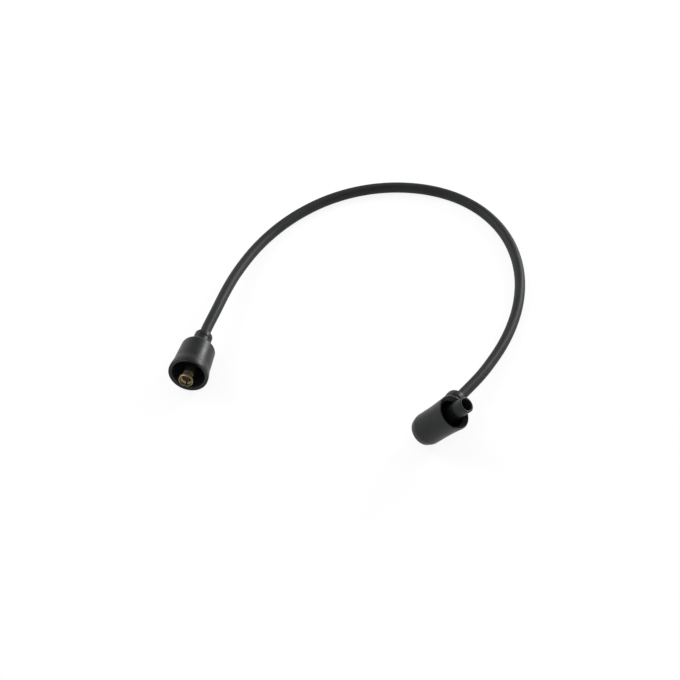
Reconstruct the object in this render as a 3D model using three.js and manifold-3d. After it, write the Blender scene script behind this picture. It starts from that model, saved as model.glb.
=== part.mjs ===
// Ignition lead, lying on a table: a 7 mm cable between a straight boot with a snap-in terminal and a
// right-angled boot with an inner sleeve. Millimetres, +Z up, +X from the straight boot to the angled one.
import * as THREE from "three";
import { mergeVertices } from "three/addons/utils/BufferGeometryUtils.js";
import Module from "manifold-3d";

const wasm = await Module();
wasm.setup();

// Cable
const CABLE_D = 7;
const CABLE_SIDES = 12;
const CABLE_STEP = 10; // length of one facet along the centre line
const CABLE_GRIP = 0.3; // radial clearance in the boots and crimps, where the real rubber and brass squeeze
const CABLE_RUN_OUT = 6; // the cable leaves each neck straight for this far
const CORE_BARE = 3.8; // length of the core that is stripped for the snap-in terminal

// Straight boot: diameters, and lengths along its axis from the mouth
const MOUTH_D = 26.8;
const MOUTH_WALL = 2.5;
const MOUTH_EDGE = 0.5; // rounding of the edges of a mouth or a floor
const LIP_WIDTH = 3;
const LIP_ROUNDING = 0.8;
const LIP_BLEND = 4.5; // from the lip down to the skirt
const SKIRT_ROUNDING = 2.5; // where that blend runs out
const SKIRT_FRONT_D = 24.8;
const SKIRT_BACK_D = 22.6;
const SKIRT_LENGTH = 26;
const SHOULDER_RISE = 1.4;
const SHOULDER_ROUNDING = 1.3;
const NECK_D = 11.2;
const NECK_LENGTH = 13.4; // beyond the skirt
const NECK_BEAD = 0.35; // how far the bead stands proud of the neck
const NECK_BEAD_WIDTH = 4.5;
const NECK_END_ROUNDING = 1.1;
const FINE_EDGE = 0.3; // rounding of a bead's and a bore's edges
const CAVITY_DEPTH = 19.5;
const CAVITY_TAPER = 0.8; // how much narrower the radius is at the floor
const CAVITY_ROUNDING = 1;

// Snap-in terminal, rolled from brass strip, along the same axis; it stands out of the mouth
const STRIP = 0.45;
const TERMINAL_REACH = 5.6;
const HEAD_D = 9.5;
const HEAD_LENGTH = 1.9;
const HEAD_CURL = 0.3; // how far its front edge turns in
const HEAD_CONE = 0.8;
const BARREL_D = 6.6;
const BARREL_LENGTH = 3.8; // crimped on the cable's bare core
const SEAM = 0.8;
const HOLE_D = 1.6;
const HOLE_SEGMENTS = 16;

// Angled boot: heights up its body from the closed end
const END_D = 18.2;
const END_CHAMFER = 4.8; // height of the cone between the closed end and the body
const CHAMFER_ROUNDING = 1.5;
const BODY_D = 21.5;
const BODY_LENGTH = 32.3;
const RIM_D = 23.7; // the body widens evenly up to its rim
const RIM_WALL = 3.2;
const WELL_TAPER = 0.3;
const WELL_DEPTH = 14.3;
const SLEEVE_D = 10.6;
const SLEEVE_TAPER = 0.2; // how much wider the radius is at its root
const SLEEVE_REACH = 12.3; // beyond the mouth
const SLEEVE_BORE_D = 8;

// Its neck, square to the body, with lengths from the body's axis
const HUB_HEIGHT = 11.3; // where the neck's axis crosses the body's
const ARM_D = 14.2;
const ARM_LENGTH = 33;
const ARM_BEAD = 0.25;
const ARM_BEAD_WIDTH = 5;
const ARM_ROOT_D = 16.6;
const ARM_ROOT_BLEND = 5;
const ARM_ROOT_ROUNDING = 3;

// Socket terminal inside it, of the same strip
const SOCKET_GAP = 0.3; // to the sleeve's bore and to the pocket round the crimp
const SOCKET_RECESS = 9; // from the sleeve's end down to the socket's mouth
const SOCKET_FLARE = 0.9; // length of the waist behind the socket's mouth
const SOCKET_WAIST = 0.25;
const SOCKET_START = 5.8; // its lower end, above the neck's axis
const STRAP_WIDTH = 3.4;
const STRAP_BEND = 1.5;
const STRAP_LAP = 1.5; // how far the strap runs into the barrel at each end
const CRIMP_START = 7.5;
const CRIMP_LENGTH = 7.2;
const CABLE_BUTT = 0.5; // from the strap's end to the cut cable

// Places on the table
const STRAIGHT_AT = [-88.4, -8.5]; // centre of the straight boot's mouth, which looks along -Y
const ELBOW_AT = [68.75, -16]; // centre of the angled boot's closed end
const ARM_HEADING = 75.3; // degrees from +X
const ARM_DIP = 7.5; // the neck slopes down towards the table
const BODY_LEAN = 40.9; // the body leans over sideways from upright

// The cable's centre line between the two necks. It comes down from both boots and lies on the table.
const ROUTE = [
  [-87.3, 57.5, 12.8],
  [-86.7, 75.6, 11.4],
  [-85.7, 93.7, 9.4],
  [-83.7, 111.6, 7.2],
  [-80.5, 129.4, 5.3],
  [-75.5, 146.8, 3.9],
  [-68.1, 163.4, 3.56],
  [-58.5, 178.8, 3.5],
  [-46.7, 192.7, 3.5],
  [-32.7, 204.3, 3.5],
  [-16.8, 213, 3.5],
  [0.6, 218.2, 3.5],
  [18.7, 219.5, 3.5],
  [36.6, 216.4, 3.5],
  [53.1, 208.9, 3.5],
  [67.4, 197.7, 3.5],
  [79.1, 183.8, 3.5],
  [88.1, 168.1, 3.5],
  [94.7, 151.1, 3.5],
  [98.9, 133.4, 3.5],
  [101, 115.4, 3.54],
  [101.1, 97.2, 3.65],
  [99.6, 79.1, 4.2],
  [96.7, 61.1, 5.4],
  [93, 43.4, 7.2],
];

const BOOT_SEGMENTS = 48;
const BRASS_SEGMENTS = 32;
const ROUNDING_STEPS = 2;
const PAST = 1; // how far a cutting tool runs past the face that it leaves by

const cableR = CABLE_D / 2;
const boreR = cableR + CABLE_GRIP;
const crimpR = boreR + STRIP;
const X = new THREE.Vector3(1, 0, 0);
const Y = new THREE.Vector3(0, 1, 0);
const Z = new THREE.Vector3(0, 0, 1);

const rubber = new THREE.MeshStandardMaterial({ color: 0x26282a, roughness: 0.55, metalness: 0 });
const jacket = new THREE.MeshStandardMaterial({ color: 0x303233, roughness: 0.5, metalness: 0 });
const brass = new THREE.MeshStandardMaterial({ color: 0xb08d4a, roughness: 0.35, metalness: 1 });

// The point that lies a distance from one corner towards another.
function towards(from, to, distance) {
  const start = new THREE.Vector2(from[0], from[1]);
  const way = new THREE.Vector2(to[0], to[1]).sub(start);
  return start.addScaledVector(way.normalize(), distance);
}

// A closed outline through corners [radius, along, rounding], counterclockwise.
// A rounding starts that far from its corner on both edges.
function outline(corners) {
  const path = new THREE.Path();
  const go = (point, first) => (first ? path.moveTo(point.x, point.y) : path.lineTo(point.x, point.y));
  corners.forEach((corner, i) => {
    const [x, y, rounding = 0] = corner;
    if (rounding === 0) {
      go({ x, y }, i === 0);
      return;
    }
    const end = towards(corner, corners[(i + 1) % corners.length], rounding);
    go(towards(corner, corners.at(i - 1), rounding), i === 0);
    path.quadraticCurveTo(x, y, end.x, end.y);
  });
  path.closePath();
  return path.getPoints(ROUNDING_STEPS);
}

// An outline turned about the Y axis.
function revolve(corners, segments) {
  return new THREE.LatheGeometry(outline(corners), segments);
}

// The manifold solid inside a closed geometry, with shared vertices merged and collapsed triangles dropped.
function solid(geometry) {
  geometry.deleteAttribute("normal");
  geometry.deleteAttribute("uv");
  const merged = mergeVertices(geometry);
  const index = merged.index.array;
  const kept = [];
  for (let i = 0; i < index.length; i += 3) {
    const [a, b, c] = index.subarray(i, i + 3);
    if (a !== b && b !== c && c !== a) kept.push(a, b, c);
  }
  const vertProperties = merged.attributes.position.array;
  return new wasm.Manifold(new wasm.Mesh({ numProp: 3, vertProperties, triVerts: new Uint32Array(kept) }));
}

function geometryOf(manifold) {
  const mesh = manifold.getMesh();
  const geometry = new THREE.BufferGeometry();
  geometry.setAttribute("position", new THREE.BufferAttribute(mesh.vertProperties, 3));
  geometry.setIndex(new THREE.BufferAttribute(mesh.triVerts, 1));
  geometry.computeVertexNormals();
  return geometry;
}

function piece(name, manifold, material) {
  const mesh = new THREE.Mesh(geometryOf(manifold), material);
  mesh.name = name;
  return mesh;
}

// A round bar along Y from one station to another, for holes.
function bar(radius, from, to, segments) {
  const geometry = new THREE.CylinderGeometry(radius, radius, to - from, segments);
  return solid(geometry.translate(0, (from + to) / 2, 0));
}

// Turns what was made about the Y axis so that it stands about the Z axis.
const upright = (geometry) => geometry.rotateX(Math.PI / 2);

// Straight boot, mouth at y = 0, neck towards +Y
const bootLength = SKIRT_LENGTH + NECK_LENGTH;

function straightBoot() {
  const mouthR = MOUTH_D / 2;
  const cavityR = mouthR - MOUTH_WALL;
  const neckR = NECK_D / 2;
  const beadR = neckR + NECK_BEAD;
  const beadStart = bootLength - NECK_BEAD_WIDTH;
  const shoulder = SKIRT_LENGTH + SHOULDER_RISE;
  const shoulderR = SKIRT_BACK_D / 2 - SHOULDER_ROUNDING;
  const corners = [
    [cavityR, 0, MOUTH_EDGE],
    [mouthR, 0, MOUTH_EDGE],
    [mouthR, LIP_WIDTH, LIP_ROUNDING],
    [SKIRT_FRONT_D / 2, LIP_WIDTH + LIP_BLEND, SKIRT_ROUNDING],
    [SKIRT_BACK_D / 2, SKIRT_LENGTH, SHOULDER_ROUNDING],
    [shoulderR, SKIRT_LENGTH + SHOULDER_RISE / 2, MOUTH_EDGE],
    [neckR, shoulder, LIP_ROUNDING],
    [neckR, beadStart, FINE_EDGE],
    [beadR, beadStart + NECK_BEAD, FINE_EDGE],
    [beadR, bootLength, NECK_END_ROUNDING],
    [boreR, bootLength, FINE_EDGE],
    [boreR, CAVITY_DEPTH, FINE_EDGE],
    [cavityR - CAVITY_TAPER, CAVITY_DEPTH, CAVITY_ROUNDING],
  ];
  return piece("straight_boot", solid(revolve(corners, BOOT_SEGMENTS)), rubber);
}

// The snap-in terminal's strip has one thickness, so its inside repeats the outside's corners.
const barrelR = BARREL_D / 2;
const barrelStart = -TERMINAL_REACH + HEAD_LENGTH + HEAD_CONE;
const barrelEnd = barrelStart + BARREL_LENGTH;

function towerTerminal() {
  const headR = HEAD_D / 2;
  const front = -TERMINAL_REACH;
  const outside = [
    [headR - HEAD_CURL, front],
    [headR, front + HEAD_CURL * 2],
    [headR, barrelStart - HEAD_CONE],
    [barrelR, barrelStart],
    [barrelR, barrelEnd],
  ];
  const inside = outside.map(([r, y]) => [r - STRIP, y]).reverse();
  const shell = solid(revolve([...outside, ...inside], BRASS_SEGMENTS));
  const slot = new THREE.BoxGeometry(SEAM, barrelEnd - front + 2 * PAST, HEAD_D);
  const seam = solid(slot.translate(0, (front + barrelEnd) / 2, -HEAD_D / 2));
  const drill = new THREE.CylinderGeometry(HOLE_D / 2, HOLE_D / 2, BARREL_D, HOLE_SEGMENTS);
  const hole = solid(upright(drill).translate(0, barrelStart + HOLE_D / 2, barrelR));
  return piece("tower_terminal", shell.subtract(seam).subtract(hole), brass);
}

// Angled boot, closed end at z = 0, mouth towards +Z, neck towards +Y
const sleeveEnd = BODY_LENGTH + SLEEVE_REACH;
const sleeveBoreR = SLEEVE_BORE_D / 2;
const pocketR = crimpR + SOCKET_GAP;
const crimpEnd = CRIMP_START + CRIMP_LENGTH;

function angledBoot() {
  const bodyR = BODY_D / 2;
  const rimR = RIM_D / 2;
  const wellR = rimR - RIM_WALL;
  const wellFloor = BODY_LENGTH - WELL_DEPTH;
  const sleeveR = SLEEVE_D / 2;
  const armR = ARM_D / 2;
  const armBeadR = armR + ARM_BEAD;
  const armBeadStart = ARM_LENGTH - ARM_BEAD_WIDTH;
  const body = [
    [0, 0],
    [END_D / 2, 0, LIP_ROUNDING],
    [bodyR, END_CHAMFER, CHAMFER_ROUNDING],
    [rimR, BODY_LENGTH, MOUTH_EDGE],
    [wellR, BODY_LENGTH, MOUTH_EDGE],
    [wellR - WELL_TAPER, wellFloor, MOUTH_EDGE],
    [sleeveR + SLEEVE_TAPER, wellFloor, MOUTH_EDGE],
    [sleeveR, sleeveEnd, FINE_EDGE],
    [sleeveBoreR, sleeveEnd, FINE_EDGE],
    [sleeveBoreR, HUB_HEIGHT],
    [0, HUB_HEIGHT],
  ];
  // The neck's root starts inside the skirt's wall, clear of the well.
  const rootStart = (wellR + bodyR) / 2;
  const arm = [
    [0, rootStart],
    [ARM_ROOT_D / 2, rootStart],
    [armR, rootStart + ARM_ROOT_BLEND, ARM_ROOT_ROUNDING],
    [armR, armBeadStart, FINE_EDGE],
    [armBeadR, armBeadStart + ARM_BEAD, FINE_EDGE],
    [armBeadR, ARM_LENGTH, NECK_END_ROUNDING],
    [boreR, ARM_LENGTH, FINE_EDGE],
    [boreR, crimpEnd],
    [0, crimpEnd],
  ];
  const bore = bar(boreR, 0, crimpEnd + PAST, BOOT_SEGMENTS / 2);
  const pocket = bar(pocketR, -pocketR, crimpEnd + SOCKET_GAP, BOOT_SEGMENTS / 2);
  const moulding = solid(upright(revolve(body, BOOT_SEGMENTS)))
    .add(solid(revolve(arm, BOOT_SEGMENTS)).translate(0, 0, HUB_HEIGHT))
    .subtract(bore.add(pocket).translate(0, 0, HUB_HEIGHT));
  return piece("angle_boot", moulding, rubber);
}

// A tube of strip with a seam cut out of its side towards +Z, along Y.
function rolled(corners) {
  const inside = corners.map(([r, y]) => [r - STRIP, y]).reverse();
  const from = corners[0][1];
  const length = corners.at(-1)[1] - from;
  const reach = Math.max(...corners.map(([r]) => r)) + PAST;
  const slot = new THREE.BoxGeometry(SEAM, length + 2 * PAST, reach);
  const seam = solid(slot.translate(0, from + length / 2, reach / 2));
  return solid(revolve([...corners, ...inside], BRASS_SEGMENTS)).subtract(seam);
}

function socketTerminal() {
  const socketR = sleeveBoreR - SOCKET_GAP;
  const socketMouth = sleeveEnd - SOCKET_RECESS - HUB_HEIGHT;
  const crimp = rolled([
    [crimpR, CRIMP_START],
    [crimpR, crimpEnd],
  ]);
  const barrel = rolled([
    [socketR, SOCKET_START],
    [socketR, socketMouth - 3 * SOCKET_FLARE],
    [socketR - SOCKET_WAIST, socketMouth - 2 * SOCKET_FLARE],
    [socketR - SOCKET_WAIST, socketMouth - SOCKET_FLARE],
    [socketR, socketMouth],
  ]);
  // The strap's edges meet each tube where its round wall is half a strap's width from the middle.
  const half = STRAP_WIDTH / 2;
  const low = -Math.sqrt(crimpR ** 2 - half ** 2);
  const back = -Math.sqrt(socketR ** 2 - half ** 2);
  const strip = new THREE.Shape();
  strip.moveTo(CRIMP_START + STRAP_LAP, low);
  strip.lineTo(CRIMP_START + STRAP_LAP, low + STRIP);
  strip.lineTo(back + STRAP_BEND, low + STRIP);
  strip.quadraticCurveTo(back + STRIP, low + STRIP, back + STRIP, low + STRAP_BEND);
  strip.lineTo(back + STRIP, SOCKET_START + STRAP_LAP);
  strip.lineTo(back, SOCKET_START + STRAP_LAP);
  strip.lineTo(back, low + STRAP_BEND);
  strip.quadraticCurveTo(back, low, back + STRAP_BEND, low);
  strip.closePath();
  const sheet = new THREE.ExtrudeGeometry(strip, {
    depth: STRAP_WIDTH,
    curveSegments: 2 * ROUNDING_STEPS,
    bevelEnabled: false,
  });
  sheet.applyMatrix4(new THREE.Matrix4().makeBasis(Y, Z, X)).translate(-half, 0, 0);
  const terminal = crimp
    .add(barrel.rotate([90, 0, 0]))
    .add(solid(sheet))
    .translate(0, 0, HUB_HEIGHT);
  return piece("socket_terminal", terminal, brass);
}

// A round tube of CABLE_SIDES sides along a curve, whose bare core stands out of its first end.
function cable(points) {
  const curve = new THREE.CatmullRomCurve3(points);
  const section = new THREE.Shape();
  section.absarc(0, 0, cableR, 0, 2 * Math.PI);
  const tube = new THREE.ExtrudeGeometry(section, {
    extrudePath: curve,
    steps: Math.round(curve.getLength() / CABLE_STEP),
    curveSegments: CABLE_SIDES / 2, // a full arc gets two sides for each
    bevelEnabled: false,
  });
  const coreR = barrelR - STRIP - CABLE_GRIP;
  const bareEnd = points[0].y + PAST; // the core runs on inside the jacket
  const core = bar(coreR, bareEnd - PAST - CORE_BARE, bareEnd, CABLE_SIDES);
  return piece("ignition_cable", solid(tube).add(core.translate(points[0].x, 0, points[0].z)), jacket);
}

const straightEnd = new THREE.Group();
straightEnd.add(straightBoot(), towerTerminal());
straightEnd.position.set(...STRAIGHT_AT, MOUTH_D / 2);
straightEnd.updateMatrixWorld(true);

const angledEnd = new THREE.Group();
angledEnd.add(angledBoot(), socketTerminal());
const turn = [-ARM_DIP, BODY_LEAN, ARM_HEADING - 90].map(THREE.MathUtils.degToRad);
angledEnd.rotation.set(...turn, "ZXY");
angledEnd.position.set(...ELBOW_AT, 0);
angledEnd.updateMatrixWorld(true);
angledEnd.position.z = -new THREE.Box3().setFromObject(angledEnd, true).min.z;
angledEnd.updateMatrixWorld(true);

const alongStraight = (y) => straightEnd.localToWorld(new THREE.Vector3(0, y, 0));
const alongArm = (y) => angledEnd.localToWorld(new THREE.Vector3(0, y, HUB_HEIGHT));
const centreLine = [
  alongStraight(barrelEnd + CABLE_GRIP),
  alongStraight(bootLength),
  alongStraight(bootLength + CABLE_RUN_OUT),
  ...ROUTE.map((point) => new THREE.Vector3(...point)),
  alongArm(ARM_LENGTH + CABLE_RUN_OUT),
  alongArm(ARM_LENGTH),
  alongArm(CRIMP_START + STRAP_LAP + CABLE_BUTT),
];

const lead = new THREE.Group();
lead.add(cable(centreLine), straightEnd, angledEnd);

export default lead;
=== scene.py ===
# Ignition lead: fine surfaces, finishes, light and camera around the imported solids. Metres, +Z up.
import math

import bmesh
import bpy
import numpy as np
from mathutils import Matrix, Vector


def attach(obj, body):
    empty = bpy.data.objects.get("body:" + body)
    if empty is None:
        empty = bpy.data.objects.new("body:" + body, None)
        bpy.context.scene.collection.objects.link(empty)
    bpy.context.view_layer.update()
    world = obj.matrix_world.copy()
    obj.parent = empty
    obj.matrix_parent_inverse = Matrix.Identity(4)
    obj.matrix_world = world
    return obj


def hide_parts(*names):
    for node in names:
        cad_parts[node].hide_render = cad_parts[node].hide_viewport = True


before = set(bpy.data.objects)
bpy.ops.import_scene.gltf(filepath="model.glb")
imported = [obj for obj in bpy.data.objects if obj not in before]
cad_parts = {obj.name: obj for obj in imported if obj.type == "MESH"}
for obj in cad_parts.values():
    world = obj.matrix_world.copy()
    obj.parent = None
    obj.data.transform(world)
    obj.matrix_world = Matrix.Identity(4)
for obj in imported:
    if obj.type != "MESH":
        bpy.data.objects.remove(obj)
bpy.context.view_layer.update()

MM = 0.001

# Camera: the photograph's azimuth and elevation, and the point on the table that it looks at
AZIMUTH = math.radians(14.12)
ELEVATION = math.radians(42)
DISTANCE = 3.5
LOOK_AT = Vector((-0.00526, 0.06276, 0))
LENS = 283.858
SENSOR = 36
CLIP_START = 0.05

# Straight boot, in mm along its axis from the mouth
STRAIGHT_AT = (-88.4, -8.5, 13.4)
MOUTH_R = 13.4
MOUTH_WALL = 2.5
CREST_R = MOUTH_R - 0.2  # the lip reaches furthest out there
LIP_EDGE = 0.6  # the mouth is at its widest that far behind the crest
STRAIGHT_LIP_DEPTH = 0.9  # the lip slopes inward that far
CAVITY_R = MOUTH_R - MOUTH_WALL
CAVITY_DEPTH = 19.5
SHOULDER_R = 11.3
SKIRT_LENGTH = 26
STRAIGHT_LENGTH = 39.4
NECK_R = 5.6
NECK_BEAD_R = 5.95
BORE_R = 3.8
PARTING_LINE = 0.08  # height of the line that the two mould halves leave
LINE_START, LINE_END = 1.5, STRAIGHT_LENGTH - 0.5
STRAIGHT_COLUMNS = 144
STRAIGHT_STEP = 0.9  # longest edge along its outline

# Angled boot, in mm up its body from the closed end, and along its neck from the body's axis
ANGLED_AT = (68.75, -16, 5.782)
ARM_HEADING, ARM_DIP, BODY_LEAN = 75.3, 7.5, 40.9
END_R = 9.1
BODY_R = 10.75
RIM_R = 11.85
RIM_FLAT = 0.5
BODY_LENGTH = 32.3
ANGLED_LIP_DEPTH = 2.6
WELL_R = 8.65
WELL_FLOOR = 18
SLEEVE_R = 5.3
SLEEVE_BORE_R = 4
SLEEVE_END = 44.6
HUB_HEIGHT = 11.3
ARM_ROOT = 9.7
ARM_ROOT_R = 8.3
ARM_R = 7.1
ARM_BEAD_R = 7.6
ARM_LENGTH = 33
POCKET_R = 4.55  # the room for the socket terminal's bend
POCKET_END = 15
BORE_REACH = 20  # the cable's bore is cut up to there, well past the pocket's end
JOIN_FILLET = 1.6  # between the neck and the body
VOXEL = 0.33
SETTLING_ROUNDS = 3
PROBE = 1e-3  # how far apart the wall's slope is measured
FLATTEST = 0.25  # the least slope squared that a move is worked out with

# Painted shade: the angled boot's rubber is painted darker in the well, on its lip and on the
# sleeve's lower part
SHADE_END = 37.3
SHADE_FADE = 0.8
LIP_START, LIP_WIDTH = 0.3, 1.5  # in from the rim's edge: where the painted shade starts, and at the most
LIP_SLANT = 0.5
LIP_FADE = 0.5

# Cable
CABLE_R = 3.5
CABLE_STEP = 1.5
CABLE_SIDES = 36
SPAN_POINTS = 24
JACKET_START = 1.2  # where it is stripped, along the straight boot's axis
JACKET_CORNER = 0.15
# place and radius of the stripped core and of the jacket's cut, along that axis
BARE_CORE = [(-2.6, 2.4), (-2.45, 2.55), (1.2, 2.55), (1.2, 3.4)]
STRAIGHT_OUT = 6  # it leaves both necks straight for that length
CABLE_END = 9.5  # along the angled boot's neck
ROUTE = [
    (-87.3, 57.5, 12.8), (-86.7, 75.6, 11.4), (-85.7, 93.7, 9.4), (-83.7, 111.6, 7.2),
    (-80.5, 129.4, 5.3), (-75.5, 146.8, 3.9), (-68.1, 163.4, 3.56), (-58.5, 178.8, 3.5),
    (-46.7, 192.7, 3.5), (-32.7, 204.3, 3.5), (-16.8, 213, 3.5), (0.6, 218.2, 3.5),
    (18.7, 219.5, 3.5), (36.6, 216.4, 3.5), (53.1, 208.9, 3.5), (67.4, 197.7, 3.5),
    (79.1, 183.8, 3.5), (88.1, 168.1, 3.5), (94.7, 151.1, 3.5), (98.9, 133.4, 3.5),
    (101, 115.4, 3.54), (101.1, 97.2, 3.65), (99.6, 79.1, 4.2), (96.7, 61.1, 5.4),
    (93, 43.4, 7.2),
]

# Snap-in terminal, along the straight boot's axis
STRIP = 0.38
SEAM = 0.8
HOLE_R = 0.8
HOLE_AT = -2.1
DRILL_LENGTH = 6
TERMINAL_COLUMNS = 96
TERMINAL_STEP = 0.6

# Outlines of what is turned: radius, place along the axis, and how far from the corner its
# rounding starts, all in mm
STRAIGHT_BOOT = [
    (CAVITY_R, STRAIGHT_LIP_DEPTH, 0.5), (CREST_R, 0, 0.4), (MOUTH_R, LIP_EDGE, 0.3),  # lip
    (MOUTH_R, 3, 0.8), (12.4, 7.5, 2.5), (SHOULDER_R, SKIRT_LENGTH, 1.3),  # flare and skirt
    (10, 26.7, 0.5), (NECK_R, 27.4, 0.8),  # shoulder
    (NECK_R, 34.9, 0.3), (NECK_BEAD_R, 35.25, 0.3), (NECK_BEAD_R, STRAIGHT_LENGTH, 1.1),  # bead
    (BORE_R, STRAIGHT_LENGTH, 0.3), (BORE_R, CAVITY_DEPTH, 0.3),  # bore for the cable
    (CAVITY_R - 0.8, CAVITY_DEPTH, 1),  # the cavity narrows towards its floor
]
ANGLED_BODY = [
    (0, 0), (END_R, 0, 0.8), (BODY_R, 4.8, 1.5), (BODY_R + 0.15, 19, 5),  # closed end and wall
    (RIM_R, BODY_LENGTH, 0.5), (RIM_R - RIM_FLAT, BODY_LENGTH, 0.3),  # rim
    (WELL_R, BODY_LENGTH - ANGLED_LIP_DEPTH, 0.9), (WELL_R - 0.3, WELL_FLOOR, 0.5),  # lip and well
    (SLEEVE_R + 0.2, WELL_FLOOR, 0.5), (SLEEVE_R, SLEEVE_END, 0.3),  # sleeve
    (SLEEVE_BORE_R, SLEEVE_END, 0.3), (SLEEVE_BORE_R, HUB_HEIGHT), (0, HUB_HEIGHT),  # its bore
]
ANGLED_ARM = [
    (0, ARM_ROOT), (ARM_ROOT_R, ARM_ROOT), (ARM_R, ARM_ROOT + 5, 3),  # root, wider by the body
    (ARM_R, 27.6, 0.3), (ARM_BEAD_R, 28.6, 0.4), (ARM_BEAD_R, ARM_LENGTH, 1.1),  # neck and bead
    (BORE_R, ARM_LENGTH, 0.3), (BORE_R, POCKET_END), (0, POCKET_END),  # bore for the cable
]
TERMINAL = [
    (4.62, -5.6, 0.12), (4.75, -5.2, 0.2), (4.75, -3.7, 0.4), (3.3, -2.9, 0.35),  # head
    (3.3, -0.8, 0.2), (3.12, -0.5, 0.12), (3.12, 0.1, 0.12),  # barrel and its crimp
    (3.3, 0.4, 0.2), (3.3, 0.9, 0.1),  # the barrel's end
]


def linear(code):
    """An sRGB hex colour as linear RGBA."""
    parts = [int(code[i:i + 2], 16) / 255 for i in (1, 3, 5)]
    return [c / 12.92 if c <= 0.04045 else ((c + 0.055) / 1.055) ** 2.4 for c in parts] + [1]


# Camera and cable

def add_camera():
    back = Vector((
        math.sin(AZIMUTH) * math.cos(ELEVATION),
        -math.cos(AZIMUTH) * math.cos(ELEVATION),
        math.sin(ELEVATION),
    ))
    data = bpy.data.cameras.new("camera")
    data.lens, data.sensor_width, data.clip_start = LENS, SENSOR, CLIP_START
    camera = bpy.data.objects.new("camera", data)
    camera.location = LOOK_AT + DISTANCE * back
    camera.rotation_euler = back.to_track_quat("Z", "Y").to_euler()
    bpy.context.scene.collection.objects.link(camera)
    bpy.context.scene.camera = camera


def centripetal(points, per_span):
    """A centripetal Catmull-Rom curve through the points."""
    points = [Vector(p) for p in points]
    points = [2 * points[0] - points[1]] + points + [2 * points[-1] - points[-2]]
    line = []
    for a, b, c, d in zip(points, points[1:], points[2:], points[3:]):
        ta = 0
        tb = ta + (b - a).length ** 0.5
        tc = tb + (c - b).length ** 0.5
        td = tc + (d - c).length ** 0.5
        for i in range(per_span):
            t = tb + (tc - tb) * i / per_span
            ab = a.lerp(b, (t - ta) / (tb - ta))
            bc = b.lerp(c, (t - tb) / (tc - tb))
            cd = c.lerp(d, (t - tc) / (td - tc))
            abc = ab.lerp(bc, (t - ta) / (tc - ta))
            bcd = bc.lerp(cd, (t - tb) / (td - tb))
            line.append(abc.lerp(bcd, (t - tb) / (tc - tb)))
    return line + [points[-2]]


def evenly(line, step):
    """Points a step apart along a line, and the line's length."""
    reach = [0]
    for a, b in zip(line, line[1:]):
        reach.append(reach[-1] + (b - a).length)
    count = round(reach[-1] / step)
    stations = np.linspace(0, reach[-1], count + 1)
    columns = [np.interp(stations, reach, [p[i] for p in line]) for i in range(3)]
    return [Vector(p) for p in zip(*columns)], reach[-1]


def smooth(mesh):
    for face in mesh.polygons:
        face.use_smooth = True


def new_piece(name, vertices, faces, slot, replaced=()):
    """A mesh object; it is a piece of the lead if it has a slot, and a tool if not."""
    mesh = bpy.data.meshes.new(name)
    mesh.from_pydata([tuple(v) for v in vertices], [], faces)
    mesh.validate()
    piece = bpy.data.objects.new(name, mesh)
    bpy.context.scene.collection.objects.link(piece)
    smooth(mesh)
    if slot:
        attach(piece, "root")
        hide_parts(*replaced)
    return piece


def straight_point(radius, along, angle):
    """A point of the straight boot's frame; angle 0 is to the right, a quarter turn is up."""
    x, y, z = STRAIGHT_AT
    return Vector((x + radius * math.cos(angle), y + along, z + radius * math.sin(angle)))


angled_frame = (
    Matrix.Translation(ANGLED_AT)
    @ Matrix.Rotation(math.radians(ARM_HEADING - 90), 4, "Z")
    @ Matrix.Rotation(math.radians(-ARM_DIP), 4, "X")
    @ Matrix.Rotation(math.radians(BODY_LEAN), 4, "Y")
)


def angled_point(across, along_arm, height):
    return angled_frame @ Vector((across, along_arm, height))


def add_cable():
    from_straight = (JACKET_START + JACKET_CORNER, STRAIGHT_LENGTH, STRAIGHT_LENGTH + STRAIGHT_OUT)
    to_angled = (ARM_LENGTH + STRAIGHT_OUT, ARM_LENGTH, CABLE_END)
    points = [straight_point(0, y, 0) for y in from_straight]
    points += ROUTE
    points += [angled_point(0, y, HUB_HEIGHT) for y in to_angled]
    line, length = evenly(centripetal(points, SPAN_POINTS), CABLE_STEP)

    rings = [(straight_point(0, y, 0), radius) for y, radius in BARE_CORE]
    rings += [(point, CABLE_R) for point in line]
    side = Vector((1, 0, 0))
    vertices = []
    for i, (point, radius) in enumerate(rings):
        after, before = rings[min(i + 1, len(rings) - 1)], rings[max(i - 1, 0)]
        ahead = (after[0] - before[0]).normalized()
        side = (side - side.dot(ahead) * ahead).normalized()
        up = ahead.cross(side)
        for k in range(CABLE_SIDES):
            angle = 2 * math.pi * k / CABLE_SIDES
            offset = radius * (math.cos(angle) * side + math.sin(angle) * up)
            vertices.append((point + offset) * MM)
    n = CABLE_SIDES
    faces = [
        (r * n + k, (r + 1) * n + k, (r + 1) * n + (k + 1) % n, r * n + (k + 1) % n)
        for r in range(len(rings) - 1) for k in range(n)
    ]
    last = (len(rings) - 1) * n
    faces += [tuple(range(n)), tuple(range(last + n - 1, last - 1, -1))]
    piece = new_piece("cable", vertices, faces, "cable_jacket", ["ignition_cable"])

    bm = bmesh.new()
    bm.from_mesh(piece.data)
    bmesh.ops.recalc_face_normals(bm, faces=bm.faces)
    layer = bm.loops.layers.uv.new("jacket")  # u: once round it, v: millimetres along it
    bm.verts.index_update()
    for face in bm.faces:
        closes_ring = any(v.index % n == n - 1 for v in face.verts)
        for loop in face.loops:
            ring, k = divmod(loop.vert.index, n)
            around = 1 if k == 0 and closes_ring else k / n
            loop[layer].uv = (around, ring * CABLE_STEP)
    bm.to_mesh(piece.data)
    bm.free()
    return piece


add_camera()
cable = add_cable()


# Meshes

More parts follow.
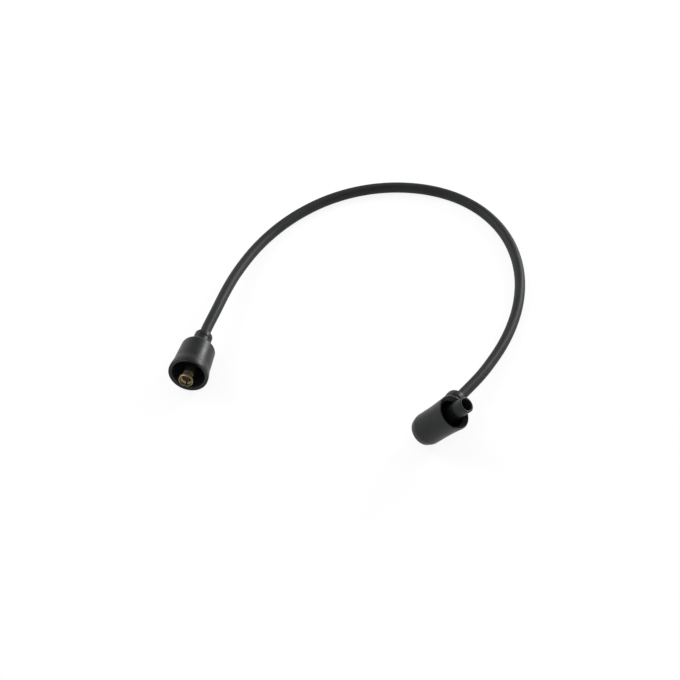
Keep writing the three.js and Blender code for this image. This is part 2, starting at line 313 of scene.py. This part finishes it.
def rounded(corners, steps=6):
    """A closed outline through corners of (radius, along, rounding)."""
    points = []
    for i, (r, y, *rest) in enumerate(corners):
        corner, rounding = Vector((r, y)), rest[0] if rest else 0
        if not rounding:
            points.append(corner)
            continue
        before = Vector(corners[i - 1][:2]) - corner
        after = Vector(corners[(i + 1) % len(corners)][:2]) - corner
        a = corner + before.normalized() * rounding
        b = corner + after.normalized() * rounding
        for k in range(steps + 1):
            t = k / steps
            points.append(a.lerp(corner, t).lerp(corner.lerp(b, t), t))
    return points


def finely(points, step):
    """The same closed outline with no edge longer than a step."""
    fine = []
    for a, b in zip(points, points[1:] + points[:1]):
        cuts = max(1, math.ceil((b - a).length / step))
        fine += [a.lerp(b, k / cuts) for k in range(cuts)]
    return fine


def ring_faces(rows, columns, closed):
    """Quads between columns of a closed outline, swept through an angle."""
    turns = columns if closed else columns - 1
    faces = [
        (c * rows + r, c * rows + (r + 1) % rows,
         (c + 1) % columns * rows + (r + 1) % rows, (c + 1) % columns * rows + r)
        for c in range(turns) for r in range(rows)
    ]
    if not closed:
        faces += [tuple(range(rows))[::-1], tuple(range((columns - 1) * rows, columns * rows))]
    return faces


def outward(piece):
    """Welds the mesh and turns its faces outward."""
    bm = bmesh.new()
    bm.from_mesh(piece.data)
    bmesh.ops.remove_doubles(bm, verts=bm.verts, dist=1e-7)
    bmesh.ops.recalc_face_normals(bm, faces=bm.faces)
    bm.to_mesh(piece.data)
    bm.free()


def apply_all(piece):
    """Makes the piece's modifiers real."""
    bpy.context.view_layer.update()
    made = piece.evaluated_get(bpy.context.evaluated_depsgraph_get())
    mesh = bpy.data.meshes.new_from_object(made)
    piece.modifiers.clear()
    piece.data = mesh


def combine(piece, operation, tool):
    change = piece.modifiers.new("combine", "BOOLEAN")
    change.operation, change.solver, change.object = operation, "EXACT", tool
    apply_all(piece)
    bpy.data.objects.remove(tool)


def add_straight_boot():
    profile = finely(rounded(STRAIGHT_BOOT), STRAIGHT_STEP)
    vertices = []
    for c in range(STRAIGHT_COLUMNS):
        angle = 2 * math.pi * c / STRAIGHT_COLUMNS
        on_line = c % (STRAIGHT_COLUMNS // 2) == 0
        for r, y in profile:
            skin = r > NECK_R - 0.1 and (y > CAVITY_DEPTH or r > CAVITY_R + 0.5)
            lined = skin and LINE_START < y < LINE_END
            if r > MOUTH_R - 0.3:  # kept back, so that the line doesn't reach past the solid
                r -= PARTING_LINE
            if on_line and lined:
                r += PARTING_LINE
            vertices.append(straight_point(r, y, angle) * MM)
    piece = new_piece(
        "straight_boot_moulding", vertices, ring_faces(len(profile), STRAIGHT_COLUMNS, True),
        "boot_rubber", ["straight_boot"],
    )
    outward(piece)
    return piece


def rod(radius, start, end, columns=48):
    """A round bar between two points, as a tool to cut with."""
    ahead = (end - start).normalized()
    side = ahead.orthogonal().normalized()
    up = ahead.cross(side)
    vertices = []
    for c in range(columns):
        angle = 2 * math.pi * c / columns
        offset = radius * (math.cos(angle) * side + math.sin(angle) * up)
        vertices += [start + offset, end + offset]
    n = 2 * columns
    faces = [(k, k + 1, (k + 3) % n, (k + 2) % n) for k in range(0, n, 2)]
    faces += [tuple(range(0, n, 2)), tuple(range(1, n, 2))[::-1]]
    bar = new_piece("rod", vertices, faces, None)
    outward(bar)
    return bar


def add_tower_terminal():
    inside = [(r - STRIP, y, rounding) for r, y, rounding in reversed(TERMINAL)]
    profile = finely(rounded(TERMINAL + inside, 3), TERMINAL_STEP)
    vertices = []
    for c in range(TERMINAL_COLUMNS):
        for r, y in profile:
            gap = math.asin(SEAM / 2 / r)  # the seam runs along the underside
            angle = -math.pi / 2 + gap + (2 * math.pi - 2 * gap) * c / (TERMINAL_COLUMNS - 1)
            vertices.append(straight_point(r, y, angle) * MM)
    piece = new_piece(
        "snap_in_terminal", vertices, ring_faces(len(profile), TERMINAL_COLUMNS, False),
        "terminal_brass", ["tower_terminal"],
    )
    outward(piece)
    hole = straight_point(0, HOLE_AT, 0) * MM
    combine(piece, "DIFFERENCE", rod(HOLE_R * MM, hole, hole + Vector((0, 0, DRILL_LENGTH * MM))))
    smooth(piece.data)
    return piece


def distance_to(outline, points):
    """Signed distance of (radius, along) points to a closed outline, negative inside."""
    nearest = np.full(len(points), np.inf)
    inside = np.zeros(len(points), bool)
    x, y = points.T
    for a, b in zip(outline, outline[1:] + outline[:1]):
        edge = np.array(b - a)
        if a[0] > 1e-6 or b[0] > 1e-6:  # an edge on the axis is no wall
            away = points - np.array(a)
            t = np.clip(away @ edge / (edge @ edge), 0, 1)
            nearest = np.minimum(nearest, np.hypot(*(away - t[:, None] * edge).T))
        crosses = (a[1] > y) != (b[1] > y)
        with np.errstate(divide="ignore", invalid="ignore"):
            inside ^= crosses & (x < edge[0] * (y - a[1]) / edge[1] + a[0])
    return np.where(inside, -nearest, nearest)


def rod_distance(points, radius, start, end):
    """Signed distance to a round bar along y."""
    x, y, z = points.T
    over = np.stack([np.hypot(x, z) - radius, np.maximum(start - y, y - end)])
    return np.minimum(over.max(0), 0) + np.hypot(*np.maximum(over, 0))


def turned(outline, place, columns=96):
    """An outline turned about an axis, with place(radius, along, angle) for its points."""
    vertices = []
    for c in range(columns):
        angle = 2 * math.pi * c / columns
        vertices += [place(r, y, angle) for r, y in outline]
    piece = new_piece("turned", vertices, ring_faces(len(outline), columns, True), None)
    outward(piece)
    return piece


def settled(points, wall):
    """The points moved onto the surface that wall gives the signed distance to."""
    for _ in range(SETTLING_ROUNDS):
        here = wall(points)
        slope = [(wall(points + PROBE * axis) - here) / PROBE for axis in np.eye(3)]
        slope = np.stack(slope, 1)
        squared = np.maximum((slope ** 2).sum(1, keepdims=True), FLATTEST)
        move = -here[:, None] * slope / squared
        points = points + np.clip(move, -VOXEL / 2, VOXEL / 2)
    return points


def painted_well_shade_mask(points):
    """1 where the angled boot is painted darker as shade, in its well and on its lip, and 0
    elsewhere.
    """
    across = np.hypot(points[:, 0], points[:, 1])
    height = points[:, 2]
    lip = np.clip(LIP_START + LIP_SLANT * (BODY_LENGTH - height), LIP_START, LIP_WIDTH)
    in_well = np.clip((RIM_R - lip - across) / LIP_FADE, 0, 1) * (height > WELL_FLOOR - 0.5)
    return in_well * np.clip((SHADE_END - height) / SHADE_FADE, 0, 1)


def add_angled_boot():
    body, arm = rounded(ANGLED_BODY), rounded(ANGLED_ARM)
    boot = turned(body, lambda r, y, a: (r * math.cos(a), r * math.sin(a), y))
    neck = turned(arm, lambda r, y, a: (r * math.cos(a), y, HUB_HEIGHT + r * math.sin(a)))
    combine(boot, "UNION", neck)
    hub = Vector((0, 0, HUB_HEIGHT))
    along = Vector((0, 1, 0))
    combine(boot, "DIFFERENCE", rod(POCKET_R, hub - POCKET_R * along, hub + POCKET_END * along))
    combine(boot, "DIFFERENCE", rod(BORE_R, hub, hub + BORE_REACH * along))
    remesh = boot.modifiers.new("remesh", "REMESH")
    remesh.mode, remesh.voxel_size = "VOXEL", VOXEL
    apply_all(boot)

    def wall(p):
        x, y, z = p.T
        of_body = distance_to(body, np.stack([np.hypot(x, y), z], 1))
        above = p - np.array([0, 0, HUB_HEIGHT])
        of_arm = distance_to(arm, np.stack([np.hypot(x, above[:, 2]), y], 1))
        blend = np.maximum(JOIN_FILLET - np.abs(of_body - of_arm), 0) / JOIN_FILLET
        outside_only = np.where(np.hypot(x, y) > BODY_R - 1, blend, 0)
        joined = np.minimum(of_body, of_arm) - outside_only ** 2 * JOIN_FILLET / 4
        pocket = rod_distance(above, POCKET_R, -POCKET_R, POCKET_END)
        bore = rod_distance(above, BORE_R, 0, BORE_REACH)
        return np.maximum(joined, -np.minimum(pocket, bore))

    mesh = boot.data
    points = np.empty(len(mesh.vertices) * 3)
    mesh.vertices.foreach_get("co", points)
    points = settled(points.reshape(-1, 3), wall)
    # painted shade: how far each point of the well and its lip is painted darker
    painted_shade = mesh.attributes.new("painted_shade", "FLOAT", "POINT")
    painted_shade.data.foreach_set("value", painted_well_shade_mask(points))
    rows = np.array(angled_frame)
    points = (points @ rows[:3, :3].T + rows[:3, 3]) * MM
    mesh.vertices.foreach_set("co", points.ravel())
    mesh.update()
    boot.name = mesh.name = "angled_boot_moulding"
    smooth(mesh)
    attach(boot, "root")
    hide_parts("angle_boot")
    return boot


straight_boot = add_straight_boot()
tower_terminal = add_tower_terminal()
angled_boot = add_angled_boot()
socket_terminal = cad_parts["socket_terminal"]


# Finishes

def add_node(tree, kind, links=(), **settings):
    """A node with its settings, and links as (this node's input, another node's output)."""
    node = tree.nodes.new(kind)
    for key, value in settings.items():
        if hasattr(node, key):
            setattr(node, key, value)
        else:
            node.inputs[key.replace("_", " ")].default_value = value
    for name, output in links:
        tree.links.new(node.inputs[name], output)
    return node


def new_material(name):
    material = bpy.data.materials.new(name)
    material.use_nodes = True
    tree = material.node_tree
    tree.nodes.clear()
    return material, tree


def per_mm(size):
    """Texture scale for features of that size in millimetres, on coordinates in metres."""
    return 1 / (size * MM)


def moulded_epdm_rubber():
    # EPDM rubber from a fine-blasted mould: deep grey, with a soft sheen, cloudy with faint
    # release talc, and painted darker in the well and on its lip, as shade
    material, tree = new_material("moulded_epdm_rubber")
    place = add_node(tree, "ShaderNodeTexCoord").outputs["Object"]
    clouds = add_node(
        tree, "ShaderNodeTexNoise", [("Vector", place)],
        Scale=per_mm(9), Detail=4.0, Roughness=0.6,
    )
    talc = add_node(
        tree, "ShaderNodeTexNoise", [("Vector", place)],
        Scale=per_mm(1.2), Detail=3.0, Roughness=0.7,
    )
    both = add_node(tree, "ShaderNodeMath", [
        (0, clouds.outputs["Fac"]), (1, talc.outputs["Fac"]),
    ], operation="MULTIPLY")
    colour = add_node(tree, "ShaderNodeValToRGB", [("Fac", both.outputs[0])])
    ramp = colour.color_ramp.elements
    ramp[0].position, ramp[0].color = 0.12, linear("#191a1b")
    ramp[1].position, ramp[1].color = 0.45, linear("#232426")
    # painted shade: the well and its lip are darkened to 0.3 of the rubber's colour
    well_darkening = add_node(tree, "ShaderNodeAttribute", attribute_name="painted_shade").outputs["Fac"]
    blacker = add_node(tree, "ShaderNodeMapRange", [("Value", well_darkening)], To_Min=1, To_Max=0.3)
    tint = add_node(tree, "ShaderNodeVectorMath", [
        (0, colour.outputs["Color"]), ("Scale", blacker.outputs[0]),
    ], operation="SCALE")
    dull = add_node(
        tree, "ShaderNodeMapRange", [("Value", clouds.outputs["Fac"])],
        From_Min=0.3, From_Max=0.7, To_Min=0.32, To_Max=0.46,
    )
    # the blasted grain is about 0.1 mm; it is drawn at 0.35 mm, to show in a close view
    grain = add_node(
        tree, "ShaderNodeTexNoise", [("Vector", place)], Scale=per_mm(0.35), Detail=2.0,
    )
    bump = add_node(
        tree, "ShaderNodeBump", [("Height", grain.outputs["Fac"])],
        Strength=0.15, Distance=0.05 * MM,
    )
    shader = add_node(tree, "ShaderNodeBsdfPrincipled", [
        ("Base Color", tint.outputs["Vector"]), ("Roughness", dull.outputs[0]),
        ("Normal", bump.outputs["Normal"]),
    ], IOR=1.5, Specular_IOR_Level=0.2)
    add_node(tree, "ShaderNodeOutputMaterial", [("Surface", shader.outputs["BSDF"])])
    return material


def extruded_cable_jacket():
    # Chlorinated rubber jacket drawn through a die: dark grey, satin, with faint drawing lines
    # along it; the insulation that is stripped bare at its end is brown
    material, tree = new_material("extruded_cable_jacket")
    jacket = add_node(tree, "ShaderNodeUVMap", uv_map="jacket").outputs["UV"]
    place = add_node(tree, "ShaderNodeTexCoord").outputs["Object"]
    # drawing lines 1 mm apart round it and 40 mm long
    lines = add_node(tree, "ShaderNodeMapping", [("Vector", jacket)], Scale=(22, 1 / 40, 1))
    drawn = add_node(
        tree, "ShaderNodeTexNoise", [("Vector", lines.outputs[0])],
        Scale=1.0, Detail=3.0, Roughness=0.6,
    )
    clouds = add_node(
        tree, "ShaderNodeTexNoise", [("Vector", place)], Scale=per_mm(14), Detail=3.0,
    )
    both = add_node(tree, "ShaderNodeMath", [
        (0, drawn.outputs["Fac"]), (1, clouds.outputs["Fac"]),
    ], operation="MULTIPLY")
    colour = add_node(tree, "ShaderNodeValToRGB", [("Fac", both.outputs[0])])
    ramp = colour.color_ramp.elements
    ramp[0].position, ramp[0].color = 0.12, linear("#1b1c1d")
    ramp[1].position, ramp[1].color = 0.4, linear("#252627")
    along = add_node(tree, "ShaderNodeSeparateXYZ", [("Vector", jacket)]).outputs["Y"]
    stripped = add_node(tree, "ShaderNodeMath", [(0, along)], operation="LESS_THAN")
    stripped.inputs[1].default_value = (len(BARE_CORE) - 0.5) * CABLE_STEP
    bare = add_node(tree, "ShaderNodeMixRGB", [
        ("Fac", stripped.outputs[0]), ("Color1", colour.outputs["Color"]),
    ], Color2=linear("#3b2620"))
    dull = add_node(
        tree, "ShaderNodeMapRange", [("Value", drawn.outputs["Fac"])],
        From_Min=0.3, From_Max=0.7, To_Min=0.5, To_Max=0.62,
    )
    bump = add_node(
        tree, "ShaderNodeBump", [("Height", drawn.outputs["Fac"])],
        Strength=0.3, Distance=0.05 * MM,
    )
    shader = add_node(tree, "ShaderNodeBsdfPrincipled", [
        ("Base Color", bare.outputs["Color"]), ("Roughness", dull.outputs[0]),
        ("Normal", bump.outputs["Normal"]),
    ], IOR=1.5, Specular_IOR_Level=0.2)
    add_node(tree, "ShaderNodeOutputMaterial", [("Surface", shader.outputs["BSDF"])])
    return material


def rolled_brass_strip():
    # Cartridge brass strip, rolled and left bare: dull yellow, browned in patches
    material, tree = new_material("rolled_brass_strip")
    place = add_node(tree, "ShaderNodeTexCoord").outputs["Object"]
    patches = add_node(
        tree, "ShaderNodeTexNoise", [("Vector", place)],
        Scale=per_mm(2.5), Detail=4.0, Roughness=0.6,
    )
    colour = add_node(tree, "ShaderNodeValToRGB", [("Fac", patches.outputs["Fac"])])
    ramp = colour.color_ramp.elements
    ramp[0].position, ramp[0].color = 0.3, linear("#685c42")
    ramp[1].position, ramp[1].color = 0.65, linear("#a0916c")
    dull = add_node(
        tree, "ShaderNodeMapRange", [("Value", patches.outputs["Fac"])],
        From_Min=0.3, From_Max=0.7, To_Min=0.5, To_Max=0.36,
    )
    # rolling marks are far finer; they are drawn at 0.3 mm, to show in a close view
    grain = add_node(
        tree, "ShaderNodeTexNoise", [("Vector", place)], Scale=per_mm(0.3), Detail=2.0,
    )
    bump = add_node(
        tree, "ShaderNodeBump", [("Height", grain.outputs["Fac"])],
        Strength=0.15, Distance=0.03 * MM,
    )
    shader = add_node(tree, "ShaderNodeBsdfPrincipled", [
        ("Base Color", colour.outputs["Color"]), ("Roughness", dull.outputs[0]),
        ("Normal", bump.outputs["Normal"]),
    ], Metallic=0.75)
    add_node(tree, "ShaderNodeOutputMaterial", [("Surface", shader.outputs["BSDF"])])
    return material


def wear(piece, material):
    piece.data.materials.clear()
    piece.data.materials.append(material)


rubber = moulded_epdm_rubber()
brass = rolled_brass_strip()
wear(cable, extruded_cable_jacket())
wear(straight_boot, rubber)
wear(angled_boot, rubber)
wear(tower_terminal, brass)
wear(socket_terminal, brass)


# Table, light and surroundings

TABLE_SIZE = 6
TABLE_WASH = 0.88  # share of plain white in the table where it is background
FILL = 0.8  # strength of the white room that lights the object
BACKDROP_TOP = (0.1, 0.6)  # sine of the elevation where the backdrop fades into the room
ROOM = 0.2  # how bright a mirror sees the room above the backdrop
WHITE = "#ffffff"
LIT_POINT = (0, 0.1, 0)
SOFTBOXES = {  # place, sides and watts
    "left_softbox": ((-1.3, 0.4, 0.95), (0.9, 0.9), 13),
    "right_softbox": ((0.66, 1.2, 0.5), (0.4, 0.4), 14),
}


def sees_background(tree):
    """1 for rays that show the background: from the camera, or by way of a mirror or glass."""
    path = add_node(tree, "ShaderNodeLightPath")
    shown = path.outputs["Is Camera Ray"]
    for name in ("Is Glossy Ray", "Is Transmission Ray"):
        either = add_node(
            tree, "ShaderNodeMath", [(0, shown), (1, path.outputs[name])], operation="MAXIMUM",
        )
        shown = either.outputs[0]
    return shown


def add_table():
    bpy.ops.mesh.primitive_plane_add(size=TABLE_SIZE)
    table = bpy.context.object
    table.name = "table"
    # Matt white paper; as background it is mostly white of its own, so that its shadow stays faint
    material, tree = new_material("matt_white_paper")
    paper = add_node(tree, "ShaderNodeBsdfDiffuse", Color=linear("#f4f4f4"))
    glow = add_node(tree, "ShaderNodeEmission", Strength=1.0)
    washed = add_node(
        tree, "ShaderNodeMixShader", [(1, paper.outputs[0]), (2, glow.outputs[0])], Fac=TABLE_WASH,
    )
    mix = add_node(tree, "ShaderNodeMixShader", [
        ("Fac", sees_background(tree)), (1, paper.outputs[0]), (2, washed.outputs[0]),
    ])
    add_node(tree, "ShaderNodeOutputMaterial", [("Surface", mix.outputs[0])])
    wear(table, material)


def add_softbox(name, place, sides, power):
    data = bpy.data.lights.new(name, "AREA")
    data.shape, data.size, data.size_y, data.energy = "RECTANGLE", *sides, power
    lamp = bpy.data.objects.new(name, data)
    lamp.location = place
    lamp.rotation_euler = (Vector(place) - Vector(LIT_POINT)).to_track_quat("Z", "Y").to_euler()
    bpy.context.scene.collection.objects.link(lamp)


def add_world():
    # White to the camera, and to a mirror or glass as far up as the backdrop goes; dim above it
    world = bpy.data.worlds.new("studio")
    world.use_nodes = True
    tree = world.node_tree
    tree.nodes.clear()
    way = add_node(tree, "ShaderNodeTexCoord").outputs["Generated"]
    height = add_node(tree, "ShaderNodeSeparateXYZ", [("Vector", way)]).outputs["Z"]
    room = add_node(
        tree, "ShaderNodeMapRange", [("Value", height)], interpolation_type="SMOOTHSTEP",
        From_Min=BACKDROP_TOP[0], From_Max=BACKDROP_TOP[1], To_Min=1.0, To_Max=ROOM,
    )
    mirrored = add_node(
        tree, "ShaderNodeBackground", [("Strength", room.outputs[0])], Color=linear(WHITE),
    )
    white = add_node(tree, "ShaderNodeBackground", Color=linear(WHITE), Strength=1.0)
    fill = add_node(tree, "ShaderNodeBackground", Color=linear(WHITE), Strength=FILL)
    path = add_node(tree, "ShaderNodeLightPath")
    seen = add_node(tree, "ShaderNodeMixShader", [
        ("Fac", path.outputs["Is Camera Ray"]), (1, mirrored.outputs[0]), (2, white.outputs[0]),
    ])
    mix = add_node(tree, "ShaderNodeMixShader", [
        ("Fac", sees_background(tree)), (1, fill.outputs[0]), (2, seen.outputs[0]),
    ])
    add_node(tree, "ShaderNodeOutputWorld", [("Surface", mix.outputs[0])])
    bpy.context.scene.world = world


add_table()
add_world()
for name, (place, sides, power) in SOFTBOXES.items():
    add_softbox(name, place, sides, power)
bpy.context.scene.view_settings.view_transform = "Standard"
